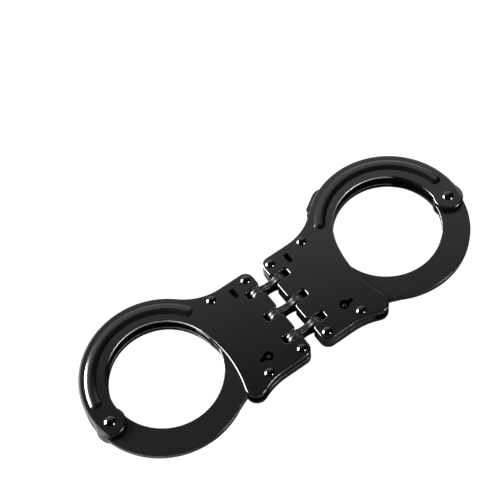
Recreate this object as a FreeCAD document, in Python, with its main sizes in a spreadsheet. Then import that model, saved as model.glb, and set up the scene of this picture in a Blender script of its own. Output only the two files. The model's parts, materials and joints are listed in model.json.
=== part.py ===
import FreeCAD, Part
import math
import os
import Sketcher
from FreeCAD import Placement, Rotation, Vector

# Hinged double-lock handcuffs, lying flat: two mirror-image cuffs joined by three hinge links.
# Millimetres. +X runs along the pair towards the right cuff, +Y across it towards the fixed arms,
# +Z up. X = 0 is the middle of the hinge, Y = 0 the centre-line of the two rings and Z = 0 the
# plane that the lower rivet heads stand on. The right cuff is drawn, and the left one mirrors it.

SIZES = {
    # layers, from the bottom up: rivet head, cheek, gap, cheek, rivet head
    "head_rise": 1.25,
    "cheek_thickness": 3.0,
    "gap_thickness": 4.4,
    "strand_thickness": 3.8,
    "lock_thickness": 4.0,
    # case, the squarish lock housing next to the hinge
    "case_edge_x": 3.7,
    "case_centre_y": -6.53,
    "case_upper_reach": 29.6,
    "case_lower_reach": 30.2,
    "case_corner_radius": 5.0,
    "case_flat_end_x": 22.0,
    "lower_sweep_radius": 36.5,
    "toe_radius": 5.9,
    "throat_x": 109.0,
    "throat_y": -11.4,
    "throat_radius": 67.6,
    "blend_radius": 40.0,
    # ring, arm and pivot
    "ring_x": 73.8,
    "ring_outer_radius": 43.9,
    "ring_inner_x": 73.2,
    "ring_inner_y": -0.3,
    "ring_inner_radius": 29.9,
    "pivot_x": 110.0,
    "pivot_y": -5.93,
    "boss_radius": 8.2,
    "bead_radius": 37.4,
    "bead_width": 6.2,
    "bead_rise": 0.85,
    "bead_from_angle": 10.0,
    "bead_sweep_angle": 134.0,
    "edge_round": 0.9,
    # hinge
    "hinge_slot_pitch": 16.15,
    "hinge_slot_width": 4.4,
    "hinge_slot_end_x": 13.1,
    "slot_mouth_radius": 2.0,
    "slot_root_radius": 1.2,
    "hinge_pin_x": 6.7,
    "hinge_pin_radius": 1.7,
    "hinge_pin_length": 45.8,
    "link_end_radius": 5.3,
    "link_waist": 3.6,
    "link_plate_thickness": 1.8,
    "link_plate_gap": 0.1,
    "link_round": 0.45,
    # rivets and clearances
    "inner_rivet_x": 8.1,
    "inner_rivet_offset": 25.3,
    "outer_rivet_x": 29.6,
    "outer_rivet_offset": 26.3,
    "rivet_radius": 1.6,
    "rivet_head_radius": 2.65,
    "pivot_rivet_radius": 2.2,
    "pivot_head_radius": 3.0,
    "fit_clearance": 0.03,
    "running_clearance": 0.05,
    # strand, the toothed arm that swings through
    "strand_inner_x": 72.0,
    "strand_inner_y": 0.87,
    "strand_inner_radius": 30.6,
    "strand_heel_angle": 241.0,
    "strand_flare_angle": 6.0,
    "strand_round": 0.45,
    "tooth_radius": 77.5,
    "tooth_depth": 1.3,
    "tooth_pitch_angle": 3.0,
    "tooth_undercut_angle": 0.22,
    "nose_radius": 74.6,
    "right_tip_angle": 142.3,
    "left_tip_angle": 148.3,
    "tip_to_first_tooth": 4.7,
    # lock
    "half_frame_thickness": 2.2,
    "seam_round": 0.45,
    "left_setback": 1.1,
    "frame_swing_radius": 79.6,
    "frame_end_x": 34.2,
    "keyhole_x": 24.6,
    "keyhole_y": -24.93,
    "keyhole_radius": 2.7,
    "key_flag_reach": 5.2,
    "key_flag_width": 2.0,
    "key_post_radius": 1.2,
    "key_post_foot_radius": 1.5,
    "key_post_collar_radius": 2.1,
    "key_post_collar_height": 0.6,
    "key_post_top": 10.0,
    "lock_slot_x": 17.8,
    "lock_slot_y": 15.67,
    "lock_slot_width": 2.8,
    "lock_slot_length": 6.0,
    "lock_bar_travel": 3.4,
    "lock_bar_hole_radius": 0.9,
    "pawl_eye_radius": 2.9,
    "pawl_tooth_gap": 0.25,
}
PAWL_TEETH = 3
PAWL_FIRST_TOOTH = 9  # the strand tooth, counted from its tip, that the pawl's first tooth meets

doc = FreeCAD.newDocument("hinged_handcuffs")
sheet = doc.addObject("Spreadsheet::Sheet", "Sizes")
for row, (alias, value) in enumerate(SIZES.items(), start=1):
    sheet.set(f"A{row}", alias)
    sheet.set(f"B{row}", str(value))
    sheet.setAlias(f"B{row}", alias)
doc.recompute()


def size(alias):
    """The value of a named cell."""
    return float(sheet.get(alias))


# ---- plane geometry ----


def point(x, y):
    return Vector(x, y, 0)


def polar(centre, radius, degrees):
    angle = math.radians(degrees)
    return centre + Vector(radius * math.cos(angle), radius * math.sin(angle), 0)


def towards(start, end, distance):
    """The point at a distance from start on the way to end."""
    way = end - start
    return start + way * (distance / way.Length)


def crossing(centre, radius, other_centre, other_radius, upper):
    """Where two circles cross: the crossing with the larger or the smaller Y."""
    way = other_centre - centre
    gap = way.Length
    along = (radius**2 - other_radius**2 + gap**2) / (2 * gap)
    aside = math.sqrt(radius**2 - along**2)
    base = centre + way * (along / gap)
    across = Vector(-way.y, way.x, 0) * (aside / gap)
    both = sorted((base + across, base - across), key=lambda p: p.y)
    return both[1] if upper else both[0]


class Outline:
    """A closed chain of straight and round edges, drawn edge by edge from a starting point."""

    def __init__(self, start):
        self.first = start
        self.here = start
        self.edges = []  # (geometry, its vertex where the chain enters, and leaves, size name)

    def line(self, end):
        if (end - self.here).Length > 1e-6:
            self.edges.append((Part.LineSegment(self.here, end), 1, 2, None))
            self.here = end

    def arc(self, centre, end, clockwise, alias=None):
        spokes = [self.here - centre, end - centre]
        angles = [math.atan2(spoke.y, spoke.x) for spoke in spokes]
        if clockwise:
            angles.reverse()
        if angles[1] <= angles[0]:
            angles[1] += 2 * math.pi
        circle = Part.Circle(centre, Vector(0, 0, 1), spokes[0].Length)
        entry, leave = (2, 1) if clockwise else (1, 2)
        self.edges.append((Part.ArcOfCircle(circle, *angles), entry, leave, alias))
        self.here = end

    def turn(self, corner, toward, radius, alias=None):
        """Runs to a corner and rounds it, ready to go on towards the next point."""
        back = (self.here - corner).normalize()
        ahead = (toward - corner).normalize()
        half = back.getAngle(ahead) / 2
        reach = radius / math.tan(half)
        centre = corner + (back + ahead).normalize() * (radius / math.sin(half))
        self.line(corner + back * reach)
        clockwise = back.cross(ahead).z > 0
        self.arc(centre, corner + ahead * reach, clockwise, alias)

    def corners(self, stops, last):
        """Runs through rounded corners, each (point, radius) with an optional size name."""
        following = [stop[0] for stop in stops[1:]] + [last]
        for stop, toward in zip(stops, following):
            if stop[1] > 0:
                self.turn(stop[0], toward, *stop[1:])
            else:
                self.line(stop[0])

    def draw(self, sketch):
        """Adds the chain to a sketch, joins the ends and ties the named radii to the sheet."""
        self.line(self.first)
        start = sketch.GeometryCount
        sketch.addGeometry([edge[0] for edge in self.edges], False)
        count = len(self.edges)
        for number, (_, _, leave, alias) in enumerate(self.edges):
            following = (number + 1) % count
            entry = self.edges[following][1]
            joint = Sketcher.Constraint("Coincident", start + number, leave, start + following, entry)
            sketch.addConstraint(joint)
            if alias:
                radius = Sketcher.Constraint("Radius", start + number, size(alias))
                index = sketch.addConstraint(radius)
                sketch.setExpression(f"Constraints[{index}]", f"Sizes.{alias}")


def rounded_polygon(corners, radius):
    """A closed outline through corner points, all rounded alike."""
    middle = (corners[-1] + corners[0]) * 0.5
    outline = Outline(middle)
    outline.corners([(corner, radius) for corner in corners], middle)
    return outline


# ---- document objects ----


def new_body(label, height="0 mm"):
    """A body whose base plane lies at a height, given as an expression."""
    body = doc.addObject("PartDesign::Body", label)
    body.Label = label
    body.setExpression(".Placement.Base.z", height)
    return body


def new_sketch(body, name, role="XY_Plane"):
    sketch = body.newObject("Sketcher::SketchObject", name)
    plane = next(item for item in body.Origin.OriginFeatures if item.Role == role)
    sketch.AttachmentSupport = [(plane, "")]
    sketch.MapMode = "FlatFace"
    return sketch


def circle(sketch, x, y, radius):
    """A circle with its centre at positive or negative X and Y, tied to the sheet by expressions."""
    values = [evaluate(text) for text in (x, y, radius)]
    shape = Part.Circle(point(values[0], values[1]), Vector(0, 0, 1), values[2])
    number = sketch.addGeometry(shape, False)
    rules = [
        Sketcher.Constraint("Radius", number, values[2]),
        Sketcher.Constraint("DistanceX", -1, 1, number, 3, values[0]),
        Sketcher.Constraint("DistanceY", -1, 1, number, 3, values[1]),
    ]
    for rule, text in zip(rules, (radius, x, y)):
        index = sketch.addConstraint(rule)
        sketch.setExpression(f"Constraints[{index}]", text)


def evaluate(text):
    """The value of a sum of cells written as an expression, such as Sizes.a + Sizes.b."""
    total = 0.0
    sign = 1.0
    for word in text.split():
        if word in "+-":
            sign = -1.0 if word == "-" else 1.0
        else:
            total += sign * size(word.removeprefix("Sizes."))
    return total


def pad(body, sketch, name, length):
    feature = body.newObject("PartDesign::Pad", name)
    feature.Profile = sketch
    feature.setExpression("Length", length)
    sketch.Visibility = False
    doc.recompute()
    return feature


def cut_through(body, sketch, name):
    """Cuts a sketch through the whole body, and makes sure that it took something away."""
    before = body.Shape.Volume
    feature = body.newObject("PartDesign::Pocket", name)
    feature.Profile = sketch
    feature.Type = "ThroughAll"
    feature.Midplane = True
    doc.recompute()
    if not body.Shape.Volume < before - 0.01:
        raise RuntimeError(f"{name} cut nothing")
    return feature


def round_edges(body, name, test, radius):
    """Rounds the edges of the body's tip that pass a test."""
    base = body.Tip
    names = [f"Edge{n}" for n, edge in enumerate(base.Shape.Edges, start=1) if test(edge)]
    feature = body.newObject("PartDesign::Fillet", name)
    feature.Base = (base, names)
    feature.setExpression("Radius", f"Sizes.{radius}")
    doc.recompute()
    return feature


def at_height(edge, height):
    box = edge.BoundBox
    return abs(box.ZMin - height) < 1e-4 and abs(box.ZMax - height) < 1e-4


RIVET_Y = {
    "inner_upper": "Sizes.case_centre_y + Sizes.inner_rivet_offset",
    "inner_lower": "Sizes.case_centre_y - Sizes.inner_rivet_offset",
    "outer_upper": "Sizes.case_centre_y + Sizes.outer_rivet_offset",
    "outer_lower": "Sizes.case_centre_y - Sizes.outer_rivet_offset",
}
RIVET_X = {key: f"Sizes.{key.split('_')[0]}_rivet_x" for key in RIVET_Y}
RIVET_HOLE = "Sizes.rivet_radius + Sizes.fit_clearance"
GAP_BASE = "Sizes.head_rise + Sizes.cheek_thickness"
LOCK_BASE = f"{GAP_BASE} + (Sizes.gap_thickness - Sizes.lock_thickness) / 2"
STRAND_BASE = f"{GAP_BASE} + (Sizes.gap_thickness - Sizes.strand_thickness) / 2"
MIDDLE = f"{GAP_BASE} + Sizes.gap_thickness / 2"

PIVOT = point(size("pivot_x"), size("pivot_y"))
RING = point(size("ring_x"), 0)
OPENING = point(size("ring_inner_x"), size("ring_inner_y"))
STRAND_RING = point(size("strand_inner_x"), size("strand_inner_y"))
CASE_TOP = size("case_centre_y") + size("case_upper_reach")
CASE_BOTTOM = size("case_centre_y") - size("case_lower_reach")
FLAT_END = size("case_flat_end_x")
LOWER_SWEEP = point(FLAT_END, CASE_BOTTOM - size("lower_sweep_radius"))
THROAT = point(size("throat_x"), size("throat_y"))
PAWL_AXIS = point(size("outer_rivet_x"), evaluate(RIVET_Y["outer_upper"]))


def neck_radius():
    """The radius of the hollow neck, which leaves the case's flat top and touches the ring."""
    across = size("ring_x") - FLAT_END
    outer = size("ring_outer_radius")
    return (across**2 + CASE_TOP**2 - outer**2) / (2 * (outer - CASE_TOP))


NECK = point(FLAT_END, CASE_TOP + neck_radius())


def hinge_edge(outline, last):
    """The case's hinge side, from its top corner down past three open slots to its bottom corner."""
    edge_x = size("case_edge_x")
    end_x = size("hinge_slot_end_x")
    half = size("hinge_slot_width") / 2
    corner = size("case_corner_radius")
    mouth = size("slot_mouth_radius")
    root = size("slot_root_radius")
    stops = [(point(edge_x, CASE_TOP), corner)]
    for step in (1, 0, -1):
        middle = size("case_centre_y") + step * size("hinge_slot_pitch")
        stops += [
            (point(edge_x, middle + half), mouth),
            (point(end_x, middle + half), root),
            (point(end_x, middle - half), root),
            (point(edge_x, middle - half), mouth),
        ]
    stops.append((point(edge_x, last.y), corner))
    outline.corners(stops, last)


def cheek_outline():
    """Case, fixed arm and pivot boss in one plate, drawn anticlockwise from the neck."""
    outline = Outline(point(FLAT_END, CASE_TOP))
    flat = point(FLAT_END, CASE_BOTTOM)
    hinge_edge(outline, flat)
    outline.line(flat)
    # the toe: a small corner that touches the lower sweep and the throat arc
    toe_radius = size("toe_radius")
    sweep_radius = size("lower_sweep_radius")
    throat_radius = size("throat_radius")
    toe = crossing(LOWER_SWEEP, sweep_radius + toe_radius, THROAT, throat_radius + toe_radius, True)
    outline.arc(LOWER_SWEEP, towards(LOWER_SWEEP, toe, sweep_radius), True, "lower_sweep_radius")
    outline.arc(toe, towards(THROAT, toe, throat_radius), False, "toe_radius")
    # the throat facing the wrist, which blends into the ring's inner circle
    blend_radius = size("blend_radius")
    inner_radius = size("ring_inner_radius")
    blend = crossing(OPENING, blend_radius - inner_radius, THROAT, throat_radius - blend_radius, False)
    outline.arc(THROAT, towards(THROAT, blend, throat_radius), True, "throat_radius")
    outline.arc(blend, towards(blend, OPENING, blend_radius), True, "blend_radius")
    boss_radius = size("boss_radius")
    outer_radius = size("ring_outer_radius")
    boss_start = crossing(OPENING, inner_radius, PIVOT, boss_radius, True)
    outline.arc(OPENING, boss_start, True, "ring_inner_radius")
    outline.arc(PIVOT, crossing(RING, outer_radius, PIVOT, boss_radius, True), False, "boss_radius")
    outline.arc(RING, towards(RING, NECK, outer_radius), False, "ring_outer_radius")
    outline.arc(NECK, outline.first, True)
    return outline


def add_bead(body, face_height, side):
    """The half-round bead along the arm, standing out of the face on the given side, up or down."""
    half = size("bead_width") / 2
    rise = size("bead_rise")
    sink = 0.3
    crown = point(0, side * (rise - (half**2 + rise**2) / (2 * rise)))
    start = size("bead_from_angle")
    sweep = size("bead_sweep_angle")

    def revolve(name, foot, turn, middle, end):
        """Turns the bead's section, from its outer foot to an end point, about an upright axis."""
        sketch = new_sketch(body, f"{name}_profile", "XZ_Plane")
        base = Vector(foot.x, face_height, -foot.y)
        sketch.AttachmentOffset = Placement(base, Rotation(Vector(0, 1, 0), turn))
        shift = point(middle, 0)
        outline = Outline(shift + point(half, 0))
        outline.arc(shift + crown, shift + end, side < 0)
        outline.line(point(outline.here.x, -side * sink))
        outline.line(point(middle + half, -side * sink))
        outline.draw(sketch)
        feature = body.newObject("PartDesign::Revolution", name)
        feature.Profile = sketch
        feature.ReferenceAxis = (sketch, ["V_Axis"])
        return feature

    bead = revolve("bead", RING, start, size("bead_radius"), point(-half, 0))
    bead.setExpression("Angle", "Sizes.bead_sweep_angle")
    doc.recompute()
    for name, angle in (("bead_first_end", start), ("bead_last_end", start + sweep)):
        foot = polar(RING, size("bead_radius"), angle)
        dome = revolve(name, foot, 0.0, 0.0, point(0, side * rise))
        dome.Angle = 360.0
        doc.recompute()


def make_cheek(label, upper):
    """One stamped cheek plate, its outer face up for the upper one and down for the lower one."""
    base = f"{GAP_BASE} + Sizes.gap_thickness" if upper else "Sizes.head_rise"
    body = new_body(label, base)
    profile = new_sketch(body, "plate_profile")
    cheek_outline().draw(profile)
    pad(body, profile, "plate", "Sizes.cheek_thickness")
    outer_face = size("cheek_thickness") if upper else 0.0
    round_edges(body, "outer_edges", lambda edge: at_height(edge, outer_face), "edge_round")
    add_bead(body, outer_face, 1 if upper else -1)
    holes = new_sketch(body, "rivet_hole_profiles")
    for key in RIVET_Y:
        circle(holes, RIVET_X[key], RIVET_Y[key], RIVET_HOLE)
    circle(holes, "Sizes.pivot_x", "Sizes.pivot_y", "Sizes.pivot_rivet_radius + Sizes.fit_clearance")
    if not upper:
        foot = "Sizes.key_post_foot_radius + Sizes.fit_clearance"
        circle(holes, "Sizes.keyhole_x", "Sizes.keyhole_y", foot)
    cut_through(body, holes, "rivet_holes")
    if upper:
        add_keyhole(body)
        add_lock_slot(body)
    return body


def add_keyhole(body):
    """The round keyhole with a tapered flag slot pointing away from the hinge."""
    centre = point(size("keyhole_x"), size("keyhole_y"))
    half_end = size("key_flag_width") / 2
    half_root = half_end + 0.3
    corner = 0.6
    sketch = new_sketch(body, "keyhole_profile")
    radius = size("keyhole_radius")
    reach = math.sqrt(radius**2 - half_root**2)
    start = centre + point(reach, half_root)
    end = centre + point(reach, -half_root)
    outline = Outline(start)
    outline.arc(centre, end, False, "keyhole_radius")
    tip = size("key_flag_reach")
    stops = [(centre + point(tip, -half_end), corner), (centre + point(tip, half_end), corner)]
    outline.corners(stops, start)
    outline.draw(sketch)
    cut_through(body, sketch, "keyhole")


def add_lock_slot(body):
    """The slot through which a key's pin pushes the double-lock bar."""
    half_x = size("lock_slot_width") / 2
    half_y = size("lock_slot_length") / 2
    centre = point(size("lock_slot_x"), size("lock_slot_y"))
    signs = ((-1, -1), (1, -1), (1, 1), (-1, 1))
    corners = [centre + point(a * half_x, b * half_y) for a, b in signs]
    sketch = new_sketch(body, "lock_slot_profile")
    rounded_polygon(corners, 0.4).draw(sketch)
    cut_through(body, sketch, "lock_slot")


# The lock's cavity inside the frame. The hinge-side wall leaves room for the slots' closed ends.
WALL_X = 14.5
DETENT_POCKET = (12.9, -3.2, 6.2)  # depth in X, and its two ends in Y
CAVITY_TOP = 20.9
CAVITY_BOTTOM = -30.3
ANCHOR = (21.2, 25.6, 18.4)  # the block that holds the pawl spring: its sides in X, its foot in Y
SPRING_SLIT = (22.1, 22.9, 21.5)  # the slit in that block: its sides in X, its end in Y
EYE_POCKET_GAP = 0.25


def make_half_frame(label, upper, setback):
    """Half of the spacer between the cheeks: hinge lands, side walls and the lock's cavity.

    Its lower edge can stand back behind the cheeks' edges."""
    thickness = "Sizes.half_frame_thickness"
    base = f"{GAP_BASE} + Sizes.gap_thickness - {thickness}" if upper else GAP_BASE
    body = new_body(label, base)
    swing = size("frame_swing_radius")
    upper_end = crossing(NECK, neck_radius(), PIVOT, swing, False)
    # below the cavity the frame stops short, so the cheeks stand open at the toe
    sweep = size("lower_sweep_radius") + setback
    across = size("frame_end_x") - FLAT_END
    lower_end = LOWER_SWEEP + point(across, math.sqrt(sweep**2 - across**2))
    outline = Outline(upper_end)
    outline.arc(NECK, point(FLAT_END, CASE_TOP), True)
    flat = point(FLAT_END, CASE_BOTTOM + setback)
    hinge_edge(outline, flat)
    outline.line(flat)
    outline.arc(LOWER_SWEEP, lower_end, True)
    outline.line(on_swing(swing, CAVITY_BOTTOM))
    pocket_x, pocket_low, pocket_high = DETENT_POCKET
    anchor_left, anchor_right, anchor_foot = ANCHOR
    slit_left, slit_right, slit_end = SPRING_SLIT
    eye = size("pawl_eye_radius") + EYE_POCKET_GAP
    for x, y in (
        (WALL_X, CAVITY_BOTTOM),
        (WALL_X, pocket_low),
        (pocket_x, pocket_low),
        (pocket_x, pocket_high),
        (WALL_X, pocket_high),
        (WALL_X, CAVITY_TOP),
        (anchor_left, CAVITY_TOP),
        (anchor_left, anchor_foot),
        (slit_left, anchor_foot),
        (slit_left, slit_end),
        (slit_right, slit_end),
        (slit_right, anchor_foot),
        (anchor_right, anchor_foot),
        (PAWL_AXIS.x - eye, PAWL_AXIS.y),
    ):
        outline.line(point(x, y))
    outline.arc(PAWL_AXIS, PAWL_AXIS + point(0, eye), True)
    outline.line(on_swing(swing, PAWL_AXIS.y + eye))
    outline.arc(PIVOT, upper_end, True, "frame_swing_radius")
    profile = new_sketch(body, "frame_profile")
    outline.draw(profile)
    pad(body, profile, "spacer", thickness)
    seam = 0.0 if upper else size("half_frame_thickness")
    case = Part.Compound([edge[0].toShape() for edge in cheek_outline().edges])

    def on_seam(edge):
        middle = edge.valueAt((edge.FirstParameter + edge.LastParameter) / 2)
        spot = Part.Vertex(middle.x, middle.y, 0)
        return at_height(edge, seam) and case.distToShape(spot)[0] < 0.01

    round_edges(body, "seam_edges", on_seam, "seam_round")
    holes = new_sketch(body, "rivet_hole_profiles")
    for key in ("inner_upper", "inner_lower", "outer_lower"):
        circle(holes, RIVET_X[key], RIVET_Y[key], RIVET_HOLE)
    cut_through(body, holes, "rivet_holes")
    add_hinge_bore(body, seam)
    return body


def add_hinge_bore(body, seam):
    """Half of the blind bore across the three slots that the hinge pin lies in."""
    sketch = new_sketch(body, "hinge_bore_profile", "XZ_Plane")
    # an XZ sketch faces -Y, so a positive offset moves it towards the case's lower side
    sketch.AttachmentOffset = Placement(point(0, 0) - Vector(0, 0, size("case_centre_y")), Rotation())
    radius = size("hinge_pin_radius") + size("fit_clearance")
    sketch.addGeometry(Part.Circle(point(size("hinge_pin_x"), seam), Vector(0, 0, 1), radius), False)
    limit = sketch.addConstraint(Sketcher.Constraint("Radius", 0, radius))
    sketch.setExpression(f"Constraints[{limit}]", "Sizes.hinge_pin_radius + Sizes.fit_clearance")
    before = body.Shape.Volume
    feature = body.newObject("PartDesign::Pocket", "hinge_bore")
    feature.Profile = sketch
    feature.setExpression("Length", "Sizes.hinge_pin_length + 2 * Sizes.running_clearance")
    feature.Midplane = True
    doc.recompute()
    if not body.Shape.Volume < before - 1.0:
        raise RuntimeError("hinge_bore cut nothing")


def on_swing(radius, y):
    """The point at a height Y on a circle about the pivot, on its hinge side."""
    return point(PIVOT.x - math.sqrt(radius**2 - (y - PIVOT.y) ** 2), y)


def make_strand(label, tip_alias):
    """The swinging arm: hub, curved bar and a toothed end whose teeth follow a circle about the pivot."""
    radius = size("tooth_radius")
    depth = size("tooth_depth")
    pitch = size("tooth_pitch_angle")
    inner = size("strand_inner_radius")
    tip_angle = size(tip_alias)
    first_tooth = tip_angle + size("tip_to_first_tooth")
    # the outer edge leaves the ring's circle at the heel, and flares on a straight line to the teeth
    heel_angle = size("strand_heel_angle")
    heel = polar(RING, size("ring_outer_radius"), heel_angle)
    course = polar(Vector(), 1.0, heel_angle - 90 + size("strand_flare_angle"))
    back = heel - PIVOT
    along = back.dot(course)
    spoke = back + course * (math.sqrt(along**2 - back.dot(back) + radius**2) - along)
    end_angle = math.degrees(math.atan2(spoke.y, spoke.x)) % 360
    teeth = int((end_angle - first_tooth) / pitch) + 1
    last_ray = polar(Vector(), 1.0, first_tooth + teeth * pitch)
    run = (back.y * last_ray.x - back.x * last_ray.y) / (course.x * last_ray.y - course.y * last_ray.x)
    hub = (PIVOT - STRAND_RING).Length - inner
    hub_touch = towards(STRAND_RING, PIVOT, inner)
    # the tip is a round cap that touches the inner circle and a nose circle about the pivot
    ray = polar(Vector(), 1.0, tip_angle)
    nose = size("nose_radius")
    offset = PIVOT - STRAND_RING
    lean = offset.dot(ray)
    cap = offset.dot(offset) + 2 * nose * lean + nose**2 - inner**2
    cap /= 2 * (lean + nose + inner)
    cap_centre = PIVOT + ray * (nose - cap)
    # a straight slope that touches the cap leads up to the first tooth
    slope = polar(PIVOT, radius, first_tooth) - cap_centre
    touch_angle = math.atan2(slope.y, slope.x) - math.acos(cap / slope.Length)

    outline = Outline(hub_touch)
    outline.arc(PIVOT, crossing(RING, size("ring_outer_radius"), PIVOT, hub, False), True)
    outline.arc(RING, heel, True, "ring_outer_radius")
    outline.line(heel + course * run)
    for number in reversed(range(teeth)):
        angle = first_tooth + number * pitch
        outline.line(polar(PIVOT, radius - depth, angle - size("tooth_undercut_angle")))
        outline.line(polar(PIVOT, radius, angle))
    outline.line(polar(cap_centre, cap, math.degrees(touch_angle)))
    outline.arc(cap_centre, towards(cap_centre, STRAND_RING, cap), True)
    outline.arc(STRAND_RING, hub_touch, False, "strand_inner_radius")

    body = new_body(label, STRAND_BASE)
    profile = new_sketch(body, "strand_profile")
    outline.draw(profile)
    pad(body, profile, "bar", "Sizes.strand_thickness")
    faces = (0.0, size("strand_thickness"))
    plain = 2 * pitch  # tooth edges are shorter than this and stay sharp
    round_edges(
        body,
        "long_edges",
        lambda edge: edge.Length > plain and any(at_height(edge, z) for z in faces),
        "strand_round",
    )
    hole = new_sketch(body, "hub_hole_profile")
    hub_hole = "Sizes.pivot_rivet_radius + Sizes.running_clearance"
    circle(hole, "Sizes.pivot_x", "Sizes.pivot_y", hub_hole)
    cut_through(body, hole, "hub_hole")
    return body


def make_pawl(label):
    """The toothed latch that turns on the outer upper rivet and reaches down to the keyhole."""
    eye = size("pawl_eye_radius")
    gap = size("pawl_tooth_gap")
    radius = size("tooth_radius")
    outside = radius + gap
    pitch = size("tooth_pitch_angle")
    lead = 0.2  # degrees between the pawl's faces and the strand's
    first = size("right_tip_angle") + size("tip_to_first_tooth") + PAWL_FIRST_TOOTH * pitch
    shoulder = radius + 0.8
    eye_left = PAWL_AXIS - point(eye, 0)
    outline = Outline(eye_left)
    outline.arc(PAWL_AXIS, PAWL_AXIS + point(eye, 0), True, "pawl_eye_radius")
    outline.line(polar(PIVOT, shoulder, first - 8.0))
    outline.arc(PIVOT, polar(PIVOT, shoulder, first - 1.5), False)
    outline.line(polar(PIVOT, outside, first + lead))
    for number in range(PAWL_TEETH):
        angle = first + number * pitch
        low = angle - size("tooth_undercut_angle") + lead
        outline.line(polar(PIVOT, radius - size("tooth_depth") + 0.2, low))
        outline.line(polar(PIVOT, outside, angle + pitch + lead))
    outline.line(polar(PIVOT, radius + 2.1, first + PAWL_TEETH * pitch + 1.5))
    tail = [
        (point(27.0, -13.0), 2.0),
        (point(21.9, -16.5), 1.0),
        (point(21.9, -23.6), 1.2),
        (point(19.3, -23.6), 1.2),
        (point(19.3, -10.5), 2.0),
        (point(21.0, -4.0), 0.5),
        (point(21.0, 0.4), 0.4),
        (point(22.6, 0.4), 0.4),
        (point(22.6, 5.5), 1.0),
        (point(24.6, 9.0), 2.0),
        (point(26.7, 17.0), 1.0),
    ]
    outline.corners(tail, eye_left)
    body = new_body(label, LOCK_BASE)
    profile = new_sketch(body, "pawl_profile")
    outline.draw(profile)
    pad(body, profile, "blade", "Sizes.lock_thickness")
    hole = new_sketch(body, "eye_profile")
    eye_hole = "Sizes.rivet_radius + Sizes.running_clearance"
    circle(hole, RIVET_X["outer_upper"], RIVET_Y["outer_upper"], eye_hole)
    cut_through(body, hole, "eye")
    return body


BAR_BACK = 15.0
DETENT_Y = 1.5
NOTCH_HALF = 0.8
NOTCH_DEPTH = 0.5


def make_lock_bar(label):
    """The double-lock bar: it slides down, so that its lug stands behind the pawl's heel."""
    outline = Outline(point(BAR_BACK, 10.0))
    for x, y in (
        (15.0, 19.9),
        (19.8, 19.9),
        (19.8, 9.0),
        (18.4, 7.6),
        (18.4, 4.5),
        (20.8, 4.5),
        (20.8, 1.5),
        (18.4, 1.5),
        (18.4, -2.0),
        (16.0, -4.4),
        (16.0, -24.5),
        (22.0, -24.5),
        (22.0, -26.0),
        (15.0, -26.0),
    ):
        outline.line(point(x, y))
    # two notches for the detent spring: the free position, then the locked one
    for middle in (DETENT_Y, DETENT_Y + size("lock_bar_travel")):
        outline.line(point(BAR_BACK, middle - NOTCH_HALF))
        outline.line(point(BAR_BACK + NOTCH_DEPTH, middle))
        outline.line(point(BAR_BACK, middle + NOTCH_HALF))
    body = new_body(label, LOCK_BASE)
    profile = new_sketch(body, "bar_profile")
    outline.draw(profile)
    pad(body, profile, "bar", "Sizes.lock_thickness")
    hole = new_sketch(body, "key_pin_hole_profile")
    hole_centre = point(size("lock_slot_x"), size("lock_slot_y") + size("lock_bar_travel") / 2)
    radius = size("lock_bar_hole_radius")
    hole.addGeometry(Part.Circle(hole_centre, Vector(0, 0, 1), radius), False)
    limit = hole.addConstraint(Sketcher.Constraint("Radius", 0, radius))
    hole.setExpression(f"Constraints[{limit}]", "Sizes.lock_bar_hole_radius")
    cut_through(body, hole, "key_pin_hole")
    return body


def make_strip(label, centre_line, thickness):
    """A flat spring bent in the plane of the lock, from the points along its middle."""
    sides = []
    for sign in (1, -1):
        side = []
        for number, here in enumerate(centre_line):
            before = centre_line[max(number - 1, 0)]
            after = centre_line[min(number + 1, len(centre_line) - 1)]
            way = (after - before).normalize()
            side.append(here + Vector(-way.y, way.x, 0) * (sign * thickness / 2))
        sides.append(side)
    body = new_body(label, LOCK_BASE)
    profile = new_sketch(body, "strip_profile")
    outline = Outline(sides[0][0])
    for stop in sides[0][1:] + sides[1][::-1]:
        outline.line(stop)
    outline.draw(profile)
    pad(body, profile, "strip", "Sizes.lock_thickness")
    return body


def make_pawl_spring(label):
    line = [point(22.5, 21.3), point(22.5, 18.2), point(21.3, 13.6), point(22.0, 11.0), point(23.5, 8.2)]
    return make_strip(label, line, 0.4)


def make_detent_spring(label):
    """A shallow bow in the frame's pocket, whose crown sits in the lock bar's notch."""
    crown = point(15.0, DETENT_Y)
    bow = [(-1.8, -4.4), (-0.9, -1.6), (0, 0), (-0.9, 1.6), (-1.8, 4.4)]
    return make_strip(label, [crown + point(x, y) for x, y in bow], 0.4)


def make_key_post(label):
    """The post that a hollow key slides over, riveted into the lower cheek."""
    foot = size("key_post_foot_radius")
    collar = size("key_post_collar_radius")
    shaft = size("key_post_radius")
    seat = size("cheek_thickness")
    step = seat + size("key_post_collar_height")
    top = size("key_post_top")
    bevel = 0.3
    dimple = 0.5
    corners = (
        (0, 0),
        (foot, 0),
        (foot, seat),
        (collar, seat),
        (collar, step),
        (shaft, step),
        (shaft, top - bevel),
        (shaft - bevel, top),
        (dimple, top),
        (0, top - dimple),
    )
    return turned(label, corners, size("keyhole_x"), size("keyhole_y"), "Sizes.head_rise")


def turned(label, corners, x, y, height):
    """A turned piece: a half profile, radius and height, revolved about its own vertical axis."""
    body = new_body(label, height)
    body.Placement.Base = Vector(x, y, body.Placement.Base.z)
    profile = new_sketch(body, "half_profile", "XZ_Plane")
    outline = Outline(point(*corners[0]))
    for corner in corners[1:]:
        outline.line(point(*corner))
    outline.draw(profile)
    feature = body.newObject("PartDesign::Revolution", "turning")
    feature.Profile = profile
    feature.ReferenceAxis = (profile, ["V_Axis"])
    feature.Angle = 360.0
    doc.recompute()
    return body


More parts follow.
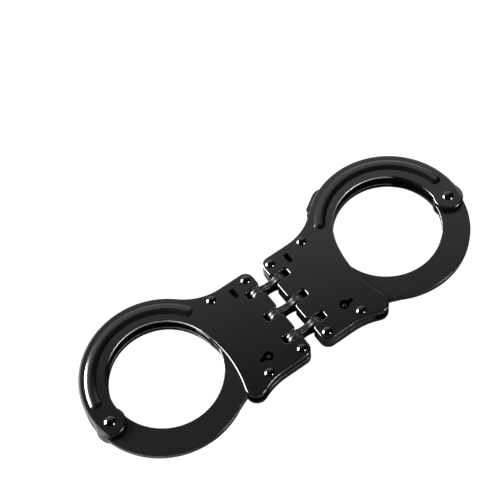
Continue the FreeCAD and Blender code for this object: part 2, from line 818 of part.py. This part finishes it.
def rivet(label, x, y, shank, head):
    """A rivet through the whole cuff, with a low round head on each outer face."""
    body = new_body(label)
    body.Placement.Base = Vector(x, y, 0)
    rise = size("head_rise")
    top = 2 * (rise + size("cheek_thickness")) + size("gap_thickness")
    ball = (head**2 + rise**2) / (2 * rise)
    profile = new_sketch(body, "half_profile", "XZ_Plane")
    outline = Outline(point(0, 0))
    outline.arc(point(0, ball), point(head, rise), False)
    outline.line(point(shank, rise))
    outline.line(point(shank, top - rise))
    outline.line(point(head, top - rise))
    outline.arc(point(0, top - ball), point(0, top), False)
    outline.draw(profile)
    feature = body.newObject("PartDesign::Revolution", "turning")
    feature.Profile = profile
    feature.ReferenceAxis = (profile, ["V_Axis"])
    feature.Angle = 360.0
    doc.recompute()
    return body


def make_case_rivets(label):
    """The four alike rivets that hold a case together, as one group."""
    shank = size("rivet_radius")
    head = size("rivet_head_radius")
    group = doc.addObject("Part::Compound", label)
    group.Label = label
    group.Links = [
        rivet(f"rivet_{key}", evaluate(RIVET_X[key]), evaluate(RIVET_Y[key]), shank, head)
        for key in RIVET_Y
    ]
    doc.recompute()
    return group


def make_hinge_pin(label):
    """The pin along Y that holds one end of the three links in a case."""
    length = size("hinge_pin_length")
    pin = doc.addObject("Part::Cylinder", label)
    pin.Label = label
    pin.setExpression("Radius", "Sizes.hinge_pin_radius")
    pin.setExpression("Height", "Sizes.hinge_pin_length")
    pin.Placement = Placement(
        Vector(size("hinge_pin_x"), size("case_centre_y") + length / 2, middle_height()),
        Rotation(Vector(1, 0, 0), 90),
    )
    doc.recompute()
    return pin


def middle_height():
    return size("head_rise") + size("cheek_thickness") + size("gap_thickness") / 2


def make_link_plate(label, near_y):
    """One waisted link plate, standing on edge between the two hinge pins."""
    end = size("link_end_radius")
    waist = size("link_waist")
    reach = size("hinge_pin_x")
    sweep = (reach**2 + waist**2 - end**2) / (2 * (end - waist))
    right = point(reach, 0)
    left = point(-reach, 0)
    above = point(0, waist + sweep)
    below = point(0, -waist - sweep)
    outline = Outline(towards(right, above, end))
    outline.arc(above, towards(left, above, end), True)
    outline.arc(left, towards(left, below, end), False, "link_end_radius")
    outline.arc(below, towards(right, below, end), True)
    outline.arc(right, outline.first, False, "link_end_radius")
    body = new_body(label, MIDDLE)
    profile = new_sketch(body, "link_profile", "XZ_Plane")
    outline.draw(profile)
    pad(body, profile, "plate", "Sizes.link_plate_thickness")
    # an XZ sketch faces -Y, so the plate's far face lies on its plane
    body.Placement.Base = Vector(0, near_y + size("link_plate_thickness"), middle_height())
    sides = (0.0, -size("link_plate_thickness"))
    round_edges(
        body,
        "side_edges",
        lambda edge: any(
            abs(edge.BoundBox.YMin - y) < 1e-4 and abs(edge.BoundBox.YMax - y) < 1e-4 for y in sides
        ),
        "link_round",
    )
    holes = new_sketch(body, "pin_hole_profiles", "XZ_Plane")
    radius = size("hinge_pin_radius") + size("running_clearance")
    for number, centre in enumerate((left, right)):
        holes.addGeometry(Part.Circle(centre, Vector(0, 0, 1), radius), False)
        limit = holes.addConstraint(Sketcher.Constraint("Radius", number, radius))
        holes.setExpression(
            f"Constraints[{limit}]", "Sizes.hinge_pin_radius + Sizes.running_clearance"
        )
    cut_through(body, holes, "pin_holes")
    return body


def mirrored(source, label):
    """The left cuff's copy of a right-hand piece, mirrored in the plane X = 0."""
    copy = doc.addObject("Part::Mirroring", label)
    copy.Label = label
    copy.Source = source
    copy.Normal = Vector(1, 0, 0)
    copy.Base = Vector(0, 0, 0)
    return copy


def make_all():
    """Every node of the pair, by its label."""
    pivot_rivet = rivet(
        "right_pivot_rivet", PIVOT.x, PIVOT.y, size("pivot_rivet_radius"), size("pivot_head_radius")
    )
    paired = [
        make_cheek("right_top_cheek", True),
        make_cheek("right_bottom_cheek", False),
        make_half_frame("right_lower_half_frame", False, 0.0),
        make_pawl("right_pawl"),
        make_pawl_spring("right_pawl_spring"),
        make_lock_bar("right_double_lock_bar"),
        make_detent_spring("right_detent_spring"),
        make_key_post("right_key_post"),
        make_case_rivets("right_case_rivets"),
        pivot_rivet,
        make_hinge_pin("right_hinge_pin"),
    ]
    nodes = list(paired)
    nodes += [mirrored(piece, piece.Label.replace("right_", "left_")) for piece in paired]
    nodes.append(make_half_frame("right_upper_half_frame", True, 0.0))
    left_frame = make_half_frame("left_upper_half_frame_drawing", True, size("left_setback"))
    nodes.append(mirrored(left_frame, "left_upper_half_frame"))
    left_strand = make_strand("left_strand_drawing", "left_tip_angle")
    nodes.append(make_strand("right_strand", "right_tip_angle"))
    nodes.append(mirrored(left_strand, "left_strand"))
    width = size("link_plate_thickness")
    gap = size("link_plate_gap")
    for number, step in enumerate((1, 0, -1), start=1):
        middle = size("case_centre_y") + step * size("hinge_slot_pitch")
        nodes.append(make_link_plate(f"hinge_link_{number}_upper_plate", middle + gap / 2))
        nodes.append(make_link_plate(f"hinge_link_{number}_lower_plate", middle - gap / 2 - width))
    doc.recompute()
    return nodes


def check(nodes):
    """Stops at the first failed object, and at the first node without a valid shape."""
    for item in doc.Objects:
        if {"Invalid", "Error"} & set(item.State):
            raise RuntimeError(f"{item.Label} failed: {item.State}")
    for node in nodes:
        if node.Shape.isNull() or not node.Shape.isValid() or not node.Shape.Solids:
            raise RuntimeError(f"{node.Label} has no valid shape")


def write(nodes):
    os.makedirs("parts", exist_ok=True)
    for node in nodes:
        node.Shape.exportStep(f"parts/{node.Label}.step")
        box = node.Shape.BoundBox
        spans = " ".join(f"{v:.2f}" for v in (box.XMin, box.XMax, box.YMin, box.YMax, box.ZMin, box.ZMax))
        print(f"{node.Label}: {len(node.Shape.Solids)} solid, {node.Shape.Volume:.1f} mm3, {spans}")


nodes = make_all()
check(nodes)
write(nodes)
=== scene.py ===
import json
import math

import bpy
from mathutils import Matrix, Vector

# Hinged double-lock handcuffs on a white studio table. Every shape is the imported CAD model's, so
# this script only gives the pieces their finishes, and adds the table, the lights and the camera.
# Lengths are in metres and angles in degrees.

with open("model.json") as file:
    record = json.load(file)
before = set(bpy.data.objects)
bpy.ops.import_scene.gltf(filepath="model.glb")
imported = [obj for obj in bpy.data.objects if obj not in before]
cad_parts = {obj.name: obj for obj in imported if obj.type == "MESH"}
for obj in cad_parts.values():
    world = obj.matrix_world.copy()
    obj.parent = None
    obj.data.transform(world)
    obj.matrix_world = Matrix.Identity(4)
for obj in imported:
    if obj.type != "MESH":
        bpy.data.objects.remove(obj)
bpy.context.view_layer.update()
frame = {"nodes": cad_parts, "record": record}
nodes = frame["nodes"]

# The right cuff's opening, as in the CAD model. The left one mirrors it.
OPENING_X = 0.0732
OPENING_Y = -0.0003
OPENING_RADIUS = 0.0299


# ---- materials ----

# The finish is rubbed dull over the rounded rims of the rings. The dullness starts, and is full,
# this far inside a ring's outer circle. Nearer to the hinge than CASE_REACH it stays glossy.
RIM_START = 0.0009
RIM_FULL = 0.0005
CASE_REACH = 0.047

# The edge round the opening is worn to bright steel between these distances outside its circle. This is
# edge wear and also a painted highlight, the bright line along that edge.
# The worn, painted highlight fades out before the pivot, between these distances from the hinge's middle
# line.
EDGE_START = 0.00002
EDGE_FULL = 0.00008
EDGE_FADE = 0.0004
EDGE_END = 0.0006
WEAR_HIGHLIGHT_FADE = 0.088
WEAR_HIGHLIGHT_END = 0.094

WORN_STEEL_HIGHLIGHT = 0.5
WORN_HIGHLIGHT_ROUGHNESS = 0.5
RUBBED_ROUGHNESS = 0.75
BUMP_DEPTH = 0.00002


class Finish:
    """A node material: helpers that add nodes and link them to the shader."""

    def __init__(self, name):
        self.material = bpy.data.materials.new(name)
        self.material.use_nodes = True
        self.tree = self.material.node_tree
        self.shader = self.tree.nodes["Principled BSDF"]
        coordinates = self.tree.nodes.new("ShaderNodeTexCoord")
        self.place = coordinates.outputs["Object"]

    def add(self, kind, **links):
        """Adds a node and feeds its named inputs, from a link or with a plain value."""
        node = self.tree.nodes.new(kind)
        for socket, value in links.items():
            self.feed(node.inputs[socket.replace("_", " ")], value)
        return node

    def feed(self, socket, value):
        """Links a socket, or gives it a plain value."""
        if isinstance(value, bpy.types.NodeSocket):
            self.tree.links.new(value, socket)
        else:
            socket.default_value = value

    def noise(self, scale, detail, stretch=None):
        """Noise in object space; scale is in features per metre."""
        place = self.place
        if stretch:
            place = self.add("ShaderNodeMapping", Vector=place, Scale=stretch).outputs["Vector"]
        return self.add("ShaderNodeTexNoise", Vector=place, Scale=scale, Detail=detail).outputs["Fac"]

    def remap(self, value, low, high):
        """Spreads the middle of a noise over a range."""
        return self.spread(value, 0.3, 0.7, low, high)

    def step(self, value, low, high):
        """Runs from 0 at the low value to 1 at the high one."""
        return self.spread(value, low, high, 0.0, 1.0)

    def spread(self, value, from_low, from_high, to_low, to_high):
        """Turns one range into another, and stops at its ends."""
        node = self.add("ShaderNodeMapRange", Value=value, From_Min=from_low, From_Max=from_high)
        self.feed(node.inputs["To Min"], to_low)
        self.feed(node.inputs["To Max"], to_high)
        return node.outputs["Result"]

    def math(self, operation, first, second):
        """One sum on a link and a second link or number."""
        node = self.add("ShaderNodeMath")
        node.operation = operation
        self.feed(node.inputs[0], first)
        self.feed(node.inputs[1], second)
        return node.outputs["Value"]

    def from_hinge(self):
        """How far a point is, to either side, from the hinge's middle line."""
        split = self.add("ShaderNodeSeparateXYZ", Vector=self.place)
        return self.math("ABSOLUTE", split.outputs["X"], 0.0)

    def from_axis(self, x, y):
        """How far a point is, seen from above, from the upright axis of its cuff at x, y."""
        split = self.add("ShaderNodeSeparateXYZ", Vector=self.place)
        across = self.math("POWER", self.math("SUBTRACT", self.from_hinge(), x), 2.0)
        along = self.math("POWER", self.math("SUBTRACT", split.outputs["Y"], y), 2.0)
        return self.math("SQRT", self.math("ADD", across, along), 0.0)

    def mix(self, mask, first, second):
        """Runs from a first number to a second by a mask."""
        return self.add("ShaderNodeMix", Factor=mask, A=first, B=second).outputs["Result"]

    def mix_colours(self, mask, first, second):
        """Runs from a first colour to a second by a mask."""
        node = self.add("ShaderNodeMix")
        node.data_type = "RGBA"
        self.feed(node.inputs["Factor"], mask)
        self.feed(node.inputs["A"], first)
        self.feed(node.inputs["B"], second)
        return node.outputs["Result"]

    def shade(self, **links):
        """Feeds the shader's named inputs."""
        for socket, value in links.items():
            self.feed(self.shader.inputs[socket.replace("_", " ")], value)

    def bump(self, height, strength):
        """Raises the surface by a pattern."""
        node = self.add("ShaderNodeBump", Strength=strength, Distance=BUMP_DEPTH, Height=height)
        self.shade(Normal=node.outputs["Normal"])


def grey(value):
    return (value, value, value, 1)


def rim_mask(finish):
    """1 on the rounded outer rims of the two rings, and 0 elsewhere."""
    top = max(nodes["right_top_cheek"].data.vertices, key=lambda vertex: vertex.co.y).co
    reach = finish.from_axis(top.x, 0.0)
    rim = finish.step(reach, top.y - RIM_START, top.y - RIM_FULL)
    return finish.math("MULTIPLY", rim, finish.math("GREATER_THAN", finish.from_hinge(), CASE_REACH))


def worn_highlight_mask(finish):
    """1 on the middle of the rounded edge round the openings, up to the pivots, and 0 elsewhere: where
    the edge is worn to steel and a painted highlight line is laid along it.
    """
    reach = finish.from_axis(OPENING_X, OPENING_Y)
    start = finish.step(reach, OPENING_RADIUS + EDGE_START, OPENING_RADIUS + EDGE_FULL)
    end = finish.step(reach, OPENING_RADIUS + EDGE_END, OPENING_RADIUS + EDGE_FADE)
    near_case = finish.step(finish.from_hinge(), WEAR_HIGHLIGHT_END, WEAR_HIGHLIGHT_FADE)
    return finish.math("MULTIPLY", near_case, finish.math("MULTIPLY", start, end))


def black_finish(name, dark, light, gloss, grain, rubbed_and_highlit=False):
    """Black baked finish on steel: near-black and glossy, with a fine skin and handling marks.

    Where hands rub it, on the outer rims of the rings, it has gone dull. The edge that the
    wrist rubs is worn to bright steel, which also paints a highlight line along the opening's edge."""
    finish = Finish(name)
    patches = finish.noise(55.0, 3.0)
    skin = finish.noise(5200.0, 2.0)
    marks = finish.noise(2400.0, 4.0)
    colour = finish.mix_colours(finish.remap(patches, 0.0, 1.0), grey(dark), grey(light))
    roughness = finish.remap(marks, gloss - 0.02, gloss + 0.02)
    if rubbed_and_highlit:
        # Bright steel along the opening's edge: edge wear and a painted highlight line.
        worn_highlight = worn_highlight_mask(finish)
        colour = finish.mix_colours(worn_highlight, colour, grey(WORN_STEEL_HIGHLIGHT))
        roughness = finish.mix(rim_mask(finish), roughness, RUBBED_ROUGHNESS)
        roughness = finish.mix(worn_highlight, roughness, WORN_HIGHLIGHT_ROUGHNESS)
        finish.shade(Metallic=worn_highlight)
    finish.shade(Base_Color=colour, Roughness=roughness, IOR=1.8)
    finish.bump(skin, grain)
    return finish.material


def bare_steel(name, dark, light, roughness, stretch):
    """Machined steel with its tool marks running one way."""
    finish = Finish(name)
    lines = finish.noise(1500.0, 5.0, stretch)
    colour = finish.mix_colours(finish.remap(lines, 0.0, 1.0), (*dark, 1), (*light, 1))
    marks = finish.remap(lines, roughness - 0.06, roughness + 0.08)
    finish.shade(Base_Color=colour, Roughness=marks, Metallic=1.0)
    finish.bump(lines, 0.25)
    return finish.material


DARK_STEEL = (0.02, 0.02, 0.021)
FINISHES = {
    "black_cheek": black_finish("black_cheek", 0.0012, 0.0020, 0.20, 0.012, rubbed_and_highlit=True),
    "black_frame": black_finish("black_frame", 0.0015, 0.0025, 0.28, 0.020),
    "black_strand": black_finish("black_strand", 0.0012, 0.0020, 0.24, 0.012),
    "black_rivet": black_finish("black_rivet", 0.0008, 0.0012, 0.06, 0.0),
    "black_link": black_finish("black_link", 0.0010, 0.0016, 0.32, 0.010),
    "bright_pin": bare_steel("bright_pin", (0.30, 0.30, 0.31), (0.42, 0.42, 0.43), 0.28, (1, 0.05, 1)),
    "lock_steel": bare_steel("lock_steel", DARK_STEEL, (0.035, 0.035, 0.037), 0.35, (0.1, 1, 1)),
    "spring_steel": bare_steel("spring_steel", (0.10, 0.11, 0.13), (0.16, 0.17, 0.20), 0.3, (1, 1, 0.1)),
    "key_post": bare_steel("key_post", DARK_STEEL, (0.035, 0.035, 0.036), 0.3, (1, 1, 0.2)),
}
slots = {part["node"]: part["material_slot"] for part in frame["record"]["subparts"]}
for name, node in nodes.items():
    node.data.materials.clear()
    node.data.materials.append(FINISHES[slots[name]])


# ---- table and lights ----

TABLE_SIZE = 8.0
TABLE_DEPTH = 0.00001
DISC_DEPTH = 0.00003
MIRRORED_DEPTH = 0.00004
DISC_RADIUS = 0.0281


def around(azimuth, elevation, distance):
    """A place on a dome over the object."""
    flat = math.cos(math.radians(elevation)) * distance
    turn = math.radians(azimuth)
    height = math.sin(math.radians(elevation)) * distance
    return Vector((flat * math.cos(turn), flat * math.sin(turn), height))


def soft_box(name, azimuth, elevation, distance, width, height, radiance):
    """A rectangular soft box on the dome, facing the object."""
    lamp = bpy.data.lights.new(name, "AREA")
    lamp.shape = "RECTANGLE"
    lamp.size = width
    lamp.size_y = height
    lamp.energy = radiance * math.pi * width * height
    holder = bpy.data.objects.new(name, lamp)
    holder.location = around(azimuth, elevation, distance)
    holder.rotation_euler = (-holder.location).to_track_quat("-Z", "Y").to_euler()
    bpy.context.scene.collection.objects.link(holder)


def dull_sheet(name, albedo, glow):
    """Gives the flat piece that was just added a dull finish, which may glow, and names it."""
    sheet = bpy.context.object
    sheet.name = name
    finish = Finish(name)
    finish.shade(
        Base_Color=grey(albedo),
        Roughness=0.9,
        Specular_IOR_Level=0.0,
        Emission_Color=grey(1),
        Emission_Strength=glow,
    )
    sheet.data.materials.append(finish.material)
    return sheet


# The table is seen overexposed, as in product photography. The metal mirrors a greyer copy of it,
# with black discs under the wrist openings: painted shade for the floor inside the rings, which keeps
# the inner walls of the rings dark.
bpy.ops.mesh.primitive_plane_add(size=TABLE_SIZE, location=(0, 0, -TABLE_DEPTH))
table = dull_sheet("table", 0.10, 1.02)
table.visible_glossy = False
table.visible_diffuse = False
table.visible_shadow = False
bpy.ops.mesh.primitive_plane_add(size=TABLE_SIZE, location=(0, 0, -MIRRORED_DEPTH))
mirrored_table = dull_sheet("mirrored_table", 0.25, 0.0)
mirrored_table.visible_camera = False
# Painted shade: black discs under the wrist openings, seen only in reflections.
for opening in frame["record"]["physics"]["openings"]:
    side = math.copysign(OPENING_X, opening["box_m"][0][0])
    middle = (side, OPENING_Y, -DISC_DEPTH)
    bpy.ops.mesh.primitive_circle_add(radius=DISC_RADIUS, vertices=96, fill_type="NGON", location=middle)
    disc = dull_sheet(opening["name"] + "_disc", 0.005, 0.0)
    disc.visible_camera = False

soft_box("left_box", 138, 22, 1.6, 1.2, 0.95, radiance=40.0)
soft_box("right_box", -60, 28, 1.6, 0.46, 0.34, radiance=30.0)
soft_box("back_box", 69, 34, 2.0, 2.8, 2.1, radiance=0.5)
soft_box("horizon_box", 62, 6, 2.2, 3.6, 0.42, radiance=1.2)

world = bpy.data.worlds.new("studio")
bpy.context.scene.world = world
world.use_nodes = True
background = world.node_tree.nodes["Background"]
background.inputs["Color"].default_value = grey(1)
background.inputs["Strength"].default_value = 0.02


# ---- camera ----

CAMERA_PLACE = (-0.17934, -0.29878, 0.66025)
CAMERA_RIGHT = (0.81268, -0.57905, -0.06517)
CAMERA_FORWARD = (0.24473, 0.44066, -0.86367)

camera_data = bpy.data.cameras.new("camera")
camera_data.sensor_width = 36.0
camera_data.lens = 100.53
camera_data.clip_end = 20.0
camera = bpy.data.objects.new("camera", camera_data)
bpy.context.scene.collection.objects.link(camera)
right = Vector(CAMERA_RIGHT).normalized()
forward = Vector(CAMERA_FORWARD).normalized()
up = right.cross(forward)
turn = Matrix((right, up, -forward)).transposed().to_4x4()
camera.matrix_world = Matrix.Translation(CAMERA_PLACE) @ turn
bpy.context.scene.camera = camera

bpy.context.scene.view_settings.view_transform = "Standard"
bpy.context.scene.view_settings.look = "None"
